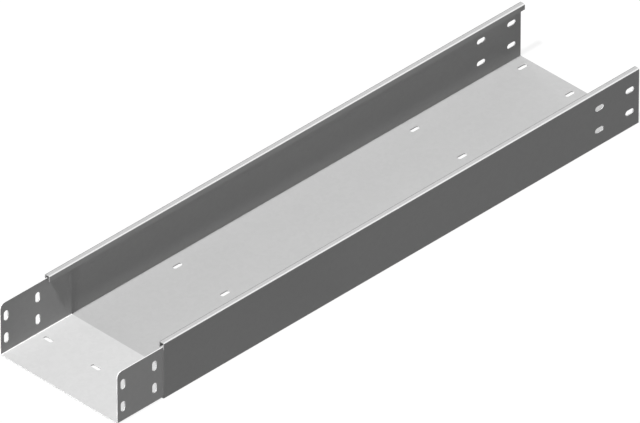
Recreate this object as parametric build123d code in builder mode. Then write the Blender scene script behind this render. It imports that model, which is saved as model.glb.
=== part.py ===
"""Heavy-duty cable tray: a folded steel channel with a coupler seated in one end.

Sizes are in millimetres. X runs along the tray, and the coupler stands out at the -X end.
Z is up, and the origin is the centre of the channel's underside.
"""

import os

from build123d import *

# Channel: one sheet, folded up into two walls, each with an inward lip and a return
CHANNEL_LENGTH = 1000.0
CHANNEL_WIDTH = 250.0  # over the walls
CHANNEL_HEIGHT = 100.0
CHANNEL_SHEET = 1.5
CHANNEL_BEND = 0.5  # inside radius of each fold
LIP_WIDTH = 10.0  # from the wall's outer face to the return's
RETURN_DEPTH = 10.0  # from the lip's top to the sheet's edge

# Coupler: one sheet, folded into a plain U that nests in the channel
COUPLER_LENGTH = 146.0
COUPLER_SEATED = 51.5  # the part of its length inside the channel
COUPLER_HEIGHT = 91.5  # from its own underside
COUPLER_SHEET = 1.5
COUPLER_BEND = 1.5
COUPLER_CORNER = 9.0  # radius of the walls' top corners
WALL_CLEARANCE = 0.1  # between a coupler wall and the channel wall beside it

# Slots for the bolts, all of one length
SLOT_LENGTH = 17.5
WALL_SLOT_WIDTH = 9.0
FLOOR_SLOT_WIDTH = 7.0
ALONG = 0.0  # turn of a slot that runs along the tray
ACROSS = 90.0  # turn of a slot that runs up a wall or across the floor

# Wall slots stand near the channel's far end and along the coupler, in both walls
COLUMNS = 2
ROWS = 2
COLUMN_PITCH = 65.0
ROW_PITCH = 40.0
END_MARGIN = 20.0  # from the channel's far end to the nearest column
COUPLER_MARGIN = 18.2  # from the channel's near end to the coupler's nearest column
COUPLER_ROW_DROP = 1.5  # the coupler's rows lie this much lower than the channel's

# Floor slots stand in columns across the floor
FLOOR_ROWS = 3
FLOOR_ROW_PITCH = 100.0
FLOOR_COLUMN_PITCH = 500.0  # between the two columns either side of the middle

# Places that follow from those sizes
NEAR_END = -CHANNEL_LENGTH / 2
FAR_END = CHANNEL_LENGTH / 2
ROW_CENTRE = CHANNEL_HEIGHT / 2
FAR_COLUMN_CENTRE = FAR_END - END_MARGIN - COLUMN_PITCH / 2
COUPLER_END = NEAR_END + COUPLER_SEATED - COUPLER_LENGTH
COUPLER_COLUMN_CENTRE = NEAR_END - COUPLER_MARGIN - COLUMN_PITCH / 2
COUPLER_ROW_CENTRE = ROW_CENTRE - COUPLER_ROW_DROP
COUPLER_FLOOR = CHANNEL_SHEET  # it rests on the channel's floor
COUPLER_HALF_WIDTH = CHANNEL_WIDTH / 2 - CHANNEL_SHEET - WALL_CLEARANCE
WALL_CUT = CHANNEL_WIDTH  # reach of a cut from the middle plane, past both walls
FLOOR_CUT = CHANNEL_SHEET + COUPLER_SHEET  # reach of a cut from the underside, past the floors


def channel_outline():
    """Corners of the channel's outer face in (Y, Z), from one return round to the other."""
    wall = CHANNEL_WIDTH / 2
    lip = wall - LIP_WIDTH
    edge = CHANNEL_HEIGHT - RETURN_DEPTH
    right = [(-lip, edge), (-lip, CHANNEL_HEIGHT), (-wall, CHANNEL_HEIGHT), (-wall, 0)]
    left = [(-y, z) for y, z in reversed(right)]
    return right + left


def coupler_outline():
    """Corners of the coupler's outer face in (Y, Z), down one wall and up the other."""
    wall = COUPLER_HALF_WIDTH
    top = COUPLER_FLOOR + COUPLER_HEIGHT
    return [(-wall, top), (-wall, COUPLER_FLOOR), (wall, COUPLER_FLOOR), (wall, top)]


def wall_slots(column_centre, row_centre, rotation):
    """Columns of slots one above the other, in the middle plane between the walls."""
    with BuildSketch(Plane.XZ) as slots:
        with Locations((column_centre, row_centre)):
            with GridLocations(COLUMN_PITCH, ROW_PITCH, COLUMNS, ROWS):
                SlotOverall(SLOT_LENGTH, WALL_SLOT_WIDTH, rotation=rotation)
    return slots.sketch


def floor_slots(centre, columns, rotation):
    """Columns of slots side by side across the floor, in the plane of the underside."""
    with BuildSketch(Plane.XY) as slots:
        with Locations((centre, 0)):
            with GridLocations(FLOOR_COLUMN_PITCH, FLOOR_ROW_PITCH, columns, FLOOR_ROWS):
                SlotOverall(SLOT_LENGTH, FLOOR_SLOT_WIDTH, rotation=rotation)
    return slots.sketch


with BuildPart() as channel:
    with BuildSketch(Plane.YZ.offset(NEAR_END)):
        with BuildLine():
            FilletPolyline(*channel_outline(), radius=CHANNEL_BEND + CHANNEL_SHEET)
            offset(amount=CHANNEL_SHEET, side=Side.LEFT)
        make_face()
    extrude(amount=CHANNEL_LENGTH)
    end_slots = wall_slots(FAR_COLUMN_CENTRE, ROW_CENTRE, rotation=ALONG)
    extrude(end_slots, amount=WALL_CUT, both=True, mode=Mode.SUBTRACT)
    middle_slots = floor_slots(centre=0, columns=2, rotation=ALONG)
    extrude(middle_slots, amount=FLOOR_CUT, both=True, mode=Mode.SUBTRACT)
    last_slots = floor_slots(FAR_END - END_MARGIN, columns=1, rotation=ALONG)
    extrude(last_slots, amount=FLOOR_CUT, both=True, mode=Mode.SUBTRACT)

with BuildPart() as coupler:
    with BuildSketch(Plane.YZ.offset(COUPLER_END)):
        with BuildLine():
            FilletPolyline(*coupler_outline(), radius=COUPLER_BEND + COUPLER_SHEET)
            offset(amount=COUPLER_SHEET, side=Side.LEFT)
        make_face()
    extrude(amount=COUPLER_LENGTH)
    top_corners = coupler.edges().filter_by(Axis.Y).group_by(Axis.Z)[-1]
    fillet(top_corners, radius=COUPLER_CORNER)
    side_slots = wall_slots(COUPLER_COLUMN_CENTRE, COUPLER_ROW_CENTRE, rotation=ACROSS)
    extrude(side_slots, amount=WALL_CUT, both=True, mode=Mode.SUBTRACT)
    cross_slots = floor_slots(NEAR_END - COUPLER_MARGIN, columns=1, rotation=ACROSS)
    extrude(cross_slots, amount=FLOOR_CUT, both=True, mode=Mode.SUBTRACT)

os.makedirs("parts", exist_ok=True)
channel.part.label = "channel"
export_step(channel.part, "parts/channel.step")
coupler.part.label = "coupler"
export_step(coupler.part, "parts/coupler.step")
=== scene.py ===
"""Studio view of the cable tray: galvanised sheet on a white floor, seen from far off.

Metres, in the same frame as the model: X along the tray, Z up, its underside at Z = 0.
The camera stands beyond the -X end, called the near end, and on the -Y side, called the right.
"""

import math
from dataclasses import dataclass

import bpy
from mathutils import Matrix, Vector


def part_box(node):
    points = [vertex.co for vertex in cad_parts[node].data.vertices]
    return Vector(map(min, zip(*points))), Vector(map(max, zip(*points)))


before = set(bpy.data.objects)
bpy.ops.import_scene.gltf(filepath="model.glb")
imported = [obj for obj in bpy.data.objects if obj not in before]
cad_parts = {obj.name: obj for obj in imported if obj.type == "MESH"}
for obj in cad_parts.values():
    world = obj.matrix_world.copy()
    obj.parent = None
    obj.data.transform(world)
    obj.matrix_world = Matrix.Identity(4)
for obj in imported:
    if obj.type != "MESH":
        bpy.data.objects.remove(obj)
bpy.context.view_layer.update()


@dataclass
class Finish:
    """The greys of one sheet, from 0, black, to 1, white, with painted shade on its walls and a
    painted highlight on its folds, and how its folds shine.
    """

    colour: float  # where the sheet lies flat facing up, painted lighter as if lit
    outside: float  # painted shade: share of that colour on the outer face of a wall
    inside: float  # painted shade: its share on the inner face
    # painted highlight on the folds turned up and to the right
    painted_fold_highlight: float
    fold_metal: float  # 1 where the folds shine as bare metal, 0 where they don't


# Camera: a very long lens far away, so that parallel edges stay nearly parallel
AZIMUTH = math.radians(-45.0)
ELEVATION = math.radians(35.264)
LENS_MM = 1100.0
DISTANCE = 29.06
MIDDLE_OF_VIEW = Vector((-0.0504, 0.0006, 0.05))

# Key lamp: high up, leaning just enough to reach the floor under the left lip
KEY_FROM = Vector((-0.50, -0.10, 1.00))
KEY_STRENGTH = 3.92
KEY_SPREAD = math.radians(4.0)

# Low lamp beyond the near end, which lights the faces turned there and skims the walls
NEAR_FROM = Vector((-1.0, -0.10, 0.02))  # far enough aside to reach into the wall slots
NEAR_STRENGTH = 2.1
NEAR_SPREAD = math.radians(7.0)

# Soft lamps at both sides: each lights its own wall outside and the other wall inside
RIGHT_FROM = Vector((0.0, -1.0, 0.20))
RIGHT_STRENGTH = 0.26
LEFT_FROM = Vector((0.35, 1.0, 0.20))
LEFT_STRENGTH = 1.0
SOFT_SPREAD = math.radians(14.0)

# World and floor, both white to the eye
WHITE = 1.0
WHITE_STRENGTH = 1.0
AMBIENT = 0.04  # strength of the world's light on the tray
FLOOR_SIZE = 40.0
FLOOR_LEVEL = -0.0002  # just clear of the tray's underside
FLOOR_GREY = 0.12  # for the light that it throws back onto the tray
SHADOW_SHARE = 0.10  # part of the floor's white that comes from the lamps

# Zinc, with painted light: palest where it faces up, and painted shade on the walls
CHANNEL = Finish(colour=0.475, outside=0.622, inside=0.665, painted_fold_highlight=0.88, fold_metal=1.0)
COUPLER = Finish(colour=0.612, outside=0.66, inside=0.505, painted_fold_highlight=0.92, fold_metal=0.0)
PAINTED_LIGHT_FROM = 0.8  # how far up a face has to turn, from 0, upright, to 1, flat, to be painted lighter as if lit
PAINTED_LIGHT_SOFTNESS = 0.1
ROUGHNESS = 0.36
ROUGHNESS_SPAN = 0.08
SPECULAR_LEVEL = 0.15
SPANGLE_SIZE = 0.006
SPANGLE_SHARE = 0.035  # lightest over darkest crystal, less one
CLOUD_SIZE = (0.08, 0.08, 0.08)
CLOUD_DETAIL = 2.0
CLOUD_SHARE = 0.03
STREAK_SIZE = (0.25, 0.0025, 0.0025)  # long and thin, along the tray
STREAK_DETAIL = 1.0
STREAK_SHARE = 0.02
BUMP_HEIGHT = 0.00004

# Folds: a painted highlight on the side turned up and to the right, which is also glossier, and
# painted shade on the side turned up and to the left
TO_RIGHT = -1.0  # sign of Y on the right
TO_LEFT = 1.0
FOLD_TURN = math.radians(34.0)  # middle of the painted band on each side, from flat
FOLD_HALF_BAND = math.radians(30.0)
FOLD_SOFTNESS = 0.02
FOLD_ROUGHNESS = 0.22
PAINTED_FOLD_SHADE = 0.15  # painted shade on the folds turned up and to the left

# Cut edges, with a painted highlight, but for the channel's end beside the coupler, which is
# darker
PAINTED_CUT_HIGHLIGHT = 0.85
CUT_FACING = 0.5  # how far a face has to turn to one axis, from 0 to 1, to count as facing it
FLOOR_ZONE = 0.006  # below this height, only cuts that face along the tray get the painted highlight
LIP_ZONE = 0.012  # depth of the channel's lips, from the top
# darker greys for the channel's cut end beside the coupler, in its walls and in its lips
DARKER_END_WALL_COLOUR = 0.12
DARKER_END_LIP_COLOUR = 0.33
DARKER_END_DEPTH = 0.0005  # how far in from the channel's end a face still belongs to it


def grey(level):
    """A colour without hue, from 0, black, to 1, white."""
    return level, level, level, 1.0


def add_camera():
    """Point a long lens at the tray from beyond its near right corner, looking down."""
    back = Vector((
        math.sin(AZIMUTH) * math.cos(ELEVATION),
        -math.cos(AZIMUTH) * math.cos(ELEVATION),
        math.sin(ELEVATION),
    ))
    data = bpy.data.cameras.new("camera")
    data.lens = LENS_MM
    camera = bpy.data.objects.new("camera", data)
    camera.location = MIDDLE_OF_VIEW + back * DISTANCE
    camera.rotation_mode = "QUATERNION"
    camera.rotation_quaternion = (-back).to_track_quat("-Z", "Y")
    bpy.context.collection.objects.link(camera)
    bpy.context.scene.camera = camera


def add_sun(name, from_direction, strength, spread):
    """A lamp so far away that its light is parallel, with soft shadows."""
    data = bpy.data.lights.new(name, "SUN")
    data.energy = strength
    data.angle = spread
    sun = bpy.data.objects.new(name, data)
    sun.rotation_mode = "QUATERNION"
    sun.rotation_quaternion = (-from_direction).to_track_quat("-Z", "Y")
    bpy.context.collection.objects.link(sun)


class Graph:
    """The shader nodes of a material or a world, with short ways of adding to them."""

    def __init__(self, owner):
        owner.use_nodes = True
        self.nodes = owner.node_tree.nodes
        self.links = owner.node_tree.links

    def feed(self, socket, value):
        """Link the socket to another node's output, or set it to a plain value."""
        if isinstance(value, bpy.types.NodeSocket):
            self.links.new(value, socket)
        else:
            socket.default_value = value

    def add(self, kind, inputs):
        """A new node of this kind, with these inputs fed, each by its name or its place."""
        node = self.nodes.new(kind)
        for socket, value in inputs.items():
            self.feed(node.inputs[socket], value)
        return node

    def maths(self, operation, *values):
        """The result of one calculation."""
        node = self.nodes.new("ShaderNodeMath")
        node.operation = operation
        for socket, value in zip(node.inputs, values):
            self.feed(socket, value)
        return node.outputs[0]

    def step(self, value, edge, softness):
        """0 where value is below the edge, 1 above it, and smooth across it."""
        ends = {"From Min": edge - softness, "From Max": edge + softness}
        node = self.add("ShaderNodeMapRange", {"Value": value, **ends})
        node.interpolation_type = "SMOOTHSTEP"
        return node.outputs[0]

    def between(self, factor, first, second):
        """first where the factor is 0 and second where it is 1."""
        node = self.add("ShaderNodeMix", {"Factor": factor, "A": first, "B": second})
        node.data_type = "FLOAT"
        return node.outputs[0]

    def split(self, vector):
        """The X, Y and Z of a vector."""
        return self.add("ShaderNodeSeparateXYZ", {"Vector": vector}).outputs

    def end(self, output, bounced, seen):
        """Close with one shader for light on its way to the tray and one for the eye.

        Reflections and what shows through clear things count as seen.
        """
        path = self.nodes.new("ShaderNodeLightPath").outputs
        factor = self.maths("MAXIMUM", path["Is Camera Ray"], path["Is Glossy Ray"])
        factor = self.maths("MAXIMUM", factor, path["Is Transmission Ray"])
        shaders = {1: bounced.outputs[0], 2: seen.outputs[0]}
        mix = self.add("ShaderNodeMixShader", {"Fac": factor, **shaders})
        self.add(output, {"Surface": mix.outputs[0]})


class Surface(Graph):
    """A material's nodes, with the surface's place and facing to choose by."""

    def __init__(self, material):
        super().__init__(material)
        self.place = self.nodes.new("ShaderNodeTexCoord").outputs["Object"]
        self.at = self.split(self.place)
        self.facing = self.split(self.nodes.new("ShaderNodeNewGeometry").outputs["Normal"])

    def crystals(self, size):
        """Cells of about this size, each with a random number from 0 to 1."""
        cells = self.add("ShaderNodeTexVoronoi", {"Vector": self.place, "Scale": 1.0 / size})
        return self.split(cells.outputs["Color"])["X"]

    def clouds(self, size, detail):
        """Soft patches of about these sizes along X, Y and Z, from 0 to 1."""
        scale = [1.0 / length for length in size]
        scaled = self.add("ShaderNodeMapping", {"Vector": self.place, "Scale": scale}).outputs[0]
        noise = {"Vector": scaled, "Scale": 1.0, "Detail": detail}
        return self.add("ShaderNodeTexNoise", noise).outputs["Fac"]


def add_world():
    """White to the eye and in reflections, and a dim even light otherwise."""
    world = bpy.data.worlds.new("studio")
    graph = Graph(world)
    graph.nodes.clear()
    white = {"Color": grey(WHITE)}
    dim = graph.add("ShaderNodeBackground", {**white, "Strength": AMBIENT})
    plain = graph.add("ShaderNodeBackground", {**white, "Strength": WHITE_STRENGTH})
    graph.end("ShaderNodeOutputWorld", bounced=dim, seen=plain)
    bpy.context.scene.world = world


def floor_material():
    """White to the eye where it is lit, and a little darker in the tray's shadow."""
    material = bpy.data.materials.new("studio_floor")
    graph = Graph(material)
    graph.nodes.clear()
    glow = {"Color": grey(WHITE), "Strength": WHITE_STRENGTH - SHADOW_SHARE}
    glow = graph.add("ShaderNodeEmission", glow)
    shaded = graph.add("ShaderNodeBsdfDiffuse", {"Color": grey(SHADOW_SHARE)})
    both = graph.add("ShaderNodeAddShader", {0: glow.outputs[0], 1: shaded.outputs[0]})
    plain = graph.add("ShaderNodeBsdfDiffuse", {"Color": grey(FLOOR_GREY)})
    graph.end("ShaderNodeOutputMaterial", bounced=plain, seen=both)
    return material


def add_floor():
    """A wide plain floor."""
    half = FLOOR_SIZE / 2
    corners = [(-half, -half), (half, -half), (half, half), (-half, half)]
    corners = [(x, y, FLOOR_LEVEL) for x, y in corners]
    mesh = bpy.data.meshes.new("floor")
    mesh.from_pydata(corners, [], [range(len(corners))])
    mesh.materials.append(floor_material())
    floor = bpy.data.objects.new("floor", mesh)
    bpy.context.collection.objects.link(floor)


def sheet_grey_with_painted_light(graph, finish, crystal):
    """The sheet's grey, with its faint patterns, painted lighter where it lies flat facing up,
    and with painted shade on every other face.
    """
    patterns = (
        (crystal, SPANGLE_SHARE),
        (graph.clouds(CLOUD_SIZE, CLOUD_DETAIL), CLOUD_SHARE),
        (graph.clouds(STREAK_SIZE, STREAK_DETAIL), STREAK_SHARE),
    )
    shade = 1.0 - (SPANGLE_SHARE + CLOUD_SHARE + STREAK_SHARE) / 2
    for pattern, share in patterns:
        shade = graph.maths("MULTIPLY_ADD", pattern, share, shade)

    # Painted shade on faces not turned up, with its own share inside the walls; painted light on
    # faces turned up
    outward = graph.maths("MULTIPLY", graph.facing["Y"], graph.at["Y"])
    inside = graph.maths("LESS_THAN", outward, 0.0)
    painted_wall_shade = graph.between(inside, finish.colour * finish.outside, finish.colour * finish.inside)
    painted_light_mask = graph.step(graph.facing["Z"], PAINTED_LIGHT_FROM, PAINTED_LIGHT_SOFTNESS)
    return graph.maths("MULTIPLY", shade, graph.between(painted_light_mask, painted_wall_shade, finish.colour))


def folded(graph, side, above):
    """1 on each fold that turns up and to this side, above this height."""
    sideways = graph.maths("MULTIPLY", graph.facing["Y"], side * math.sin(FOLD_TURN))
    toward = graph.maths("MULTIPLY_ADD", graph.facing["Z"], math.cos(FOLD_TURN), sideways)
    band = graph.step(toward, math.cos(FOLD_HALF_BAND), FOLD_SOFTNESS)
    return graph.maths("MULTIPLY", band, graph.maths("GREATER_THAN", graph.at["Z"], above))


def cut(graph, walls_to):
    """1 on cuts that face along the tray, and on all cuts of the walls up to this height."""
    along, aside = (graph.maths("ABSOLUTE", graph.facing[axis]) for axis in ("X", "Y"))
    not_sideways = graph.maths("LESS_THAN", aside, CUT_FACING)
    lengthwise = graph.maths("GREATER_THAN", along, CUT_FACING)
    over_floor = graph.maths("GREATER_THAN", graph.at["Z"], FLOOR_ZONE)
    under_lips = graph.maths("LESS_THAN", graph.at["Z"], walls_to)
    in_wall = graph.maths("MULTIPLY", over_floor, under_lips)
    return graph.maths("MULTIPLY", not_sideways, graph.maths("MAXIMUM", lengthwise, in_wall))


def darker_end_mask(graph, end):
    """1 on the cut end of the sheet that faces -X at this X."""
    facing_out = graph.maths("LESS_THAN", graph.facing["X"], -CUT_FACING)
    at_end = graph.maths("LESS_THAN", graph.at["X"], end + DARKER_END_DEPTH)
    return graph.maths("MULTIPLY", facing_out, at_end)


def galvanised(name, finish, folds_from, walls_to, darker_end_x=None):
    """Zinc-coated sheet with a painted highlight on its folds and cut edges, painted shade on its
    other folds, and perhaps a darker cut end.

    folds_from and walls_to are heights, and darker_end_x is the X of that end.
    """
    material = bpy.data.materials.new(name)
    graph = Surface(material)
    crystal = graph.crystals(SPANGLE_SIZE)
    highlight_fold = folded(graph, TO_RIGHT, folds_from)

    shade = sheet_grey_with_painted_light(graph, finish, crystal)
    # Painted shade on the folds turned up and to the left
    shade = graph.between(folded(graph, TO_LEFT, folds_from), shade, PAINTED_FOLD_SHADE)
    # Painted highlight on the folds turned up and to the right; on the channel that band is also
    # metallic, so there it also reflects the white surroundings
    shade = graph.between(highlight_fold, shade, finish.painted_fold_highlight)
    # Painted highlight on the cut edges
    shade = graph.between(cut(graph, walls_to), shade, PAINTED_CUT_HIGHLIGHT)
    # The channel's cut end beside the coupler is darker than the other cuts, most of all below
    # the lips
    if darker_end_x is not None:
        in_lip = graph.maths("GREATER_THAN", graph.at["Z"], walls_to)
        darker_cut = graph.between(in_lip, DARKER_END_WALL_COLOUR, DARKER_END_LIP_COLOUR)
        shade = graph.between(darker_end_mask(graph, darker_end_x), shade, darker_cut)
    colour = {"Red": shade, "Green": shade, "Blue": shade}
    satin = graph.maths("MULTIPLY_ADD", crystal, ROUGHNESS_SPAN, ROUGHNESS - ROUGHNESS_SPAN / 2)
    relief = {"Distance": BUMP_HEIGHT, "Height": crystal}

    looks = {
        "Base Color": graph.add("ShaderNodeCombineColor", colour).outputs[0],
        "Roughness": graph.between(highlight_fold, satin, FOLD_ROUGHNESS),
        "Metallic": graph.maths("MULTIPLY", highlight_fold, finish.fold_metal),
        "Specular IOR Level": SPECULAR_LEVEL,
        "Normal": graph.add("ShaderNodeBump", relief).outputs[0],
    }
    shader = graph.nodes["Principled BSDF"]
    for socket, value in looks.items():
        graph.feed(shader.inputs[socket], value)
    return material


def dress(node, material):
    """Give every slot of a CAD node this material."""
    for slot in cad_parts[node].material_slots:
        slot.material = material


add_camera()
add_sun("key", KEY_FROM, KEY_STRENGTH, KEY_SPREAD)
add_sun("near_end", NEAR_FROM, NEAR_STRENGTH, NEAR_SPREAD)
add_sun("right_side", RIGHT_FROM, RIGHT_STRENGTH, SOFT_SPREAD)
add_sun("left_side", LEFT_FROM, LEFT_STRENGTH, SOFT_SPREAD)
add_world()
add_floor()

channel_low, channel_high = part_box("channel")
lips_from = channel_high.z - LIP_ZONE
channel_zinc = galvanised(
    "channel_zinc", CHANNEL, folds_from=lips_from, walls_to=lips_from, darker_end_x=channel_low.x
)
coupler_zinc = galvanised(
    "coupler_zinc", COUPLER, folds_from=channel_low.z, walls_to=channel_high.z
)
dress("channel", channel_zinc)
dress("coupler", coupler_zinc)
bpy.context.scene.view_settings.view_transform = "Standard"
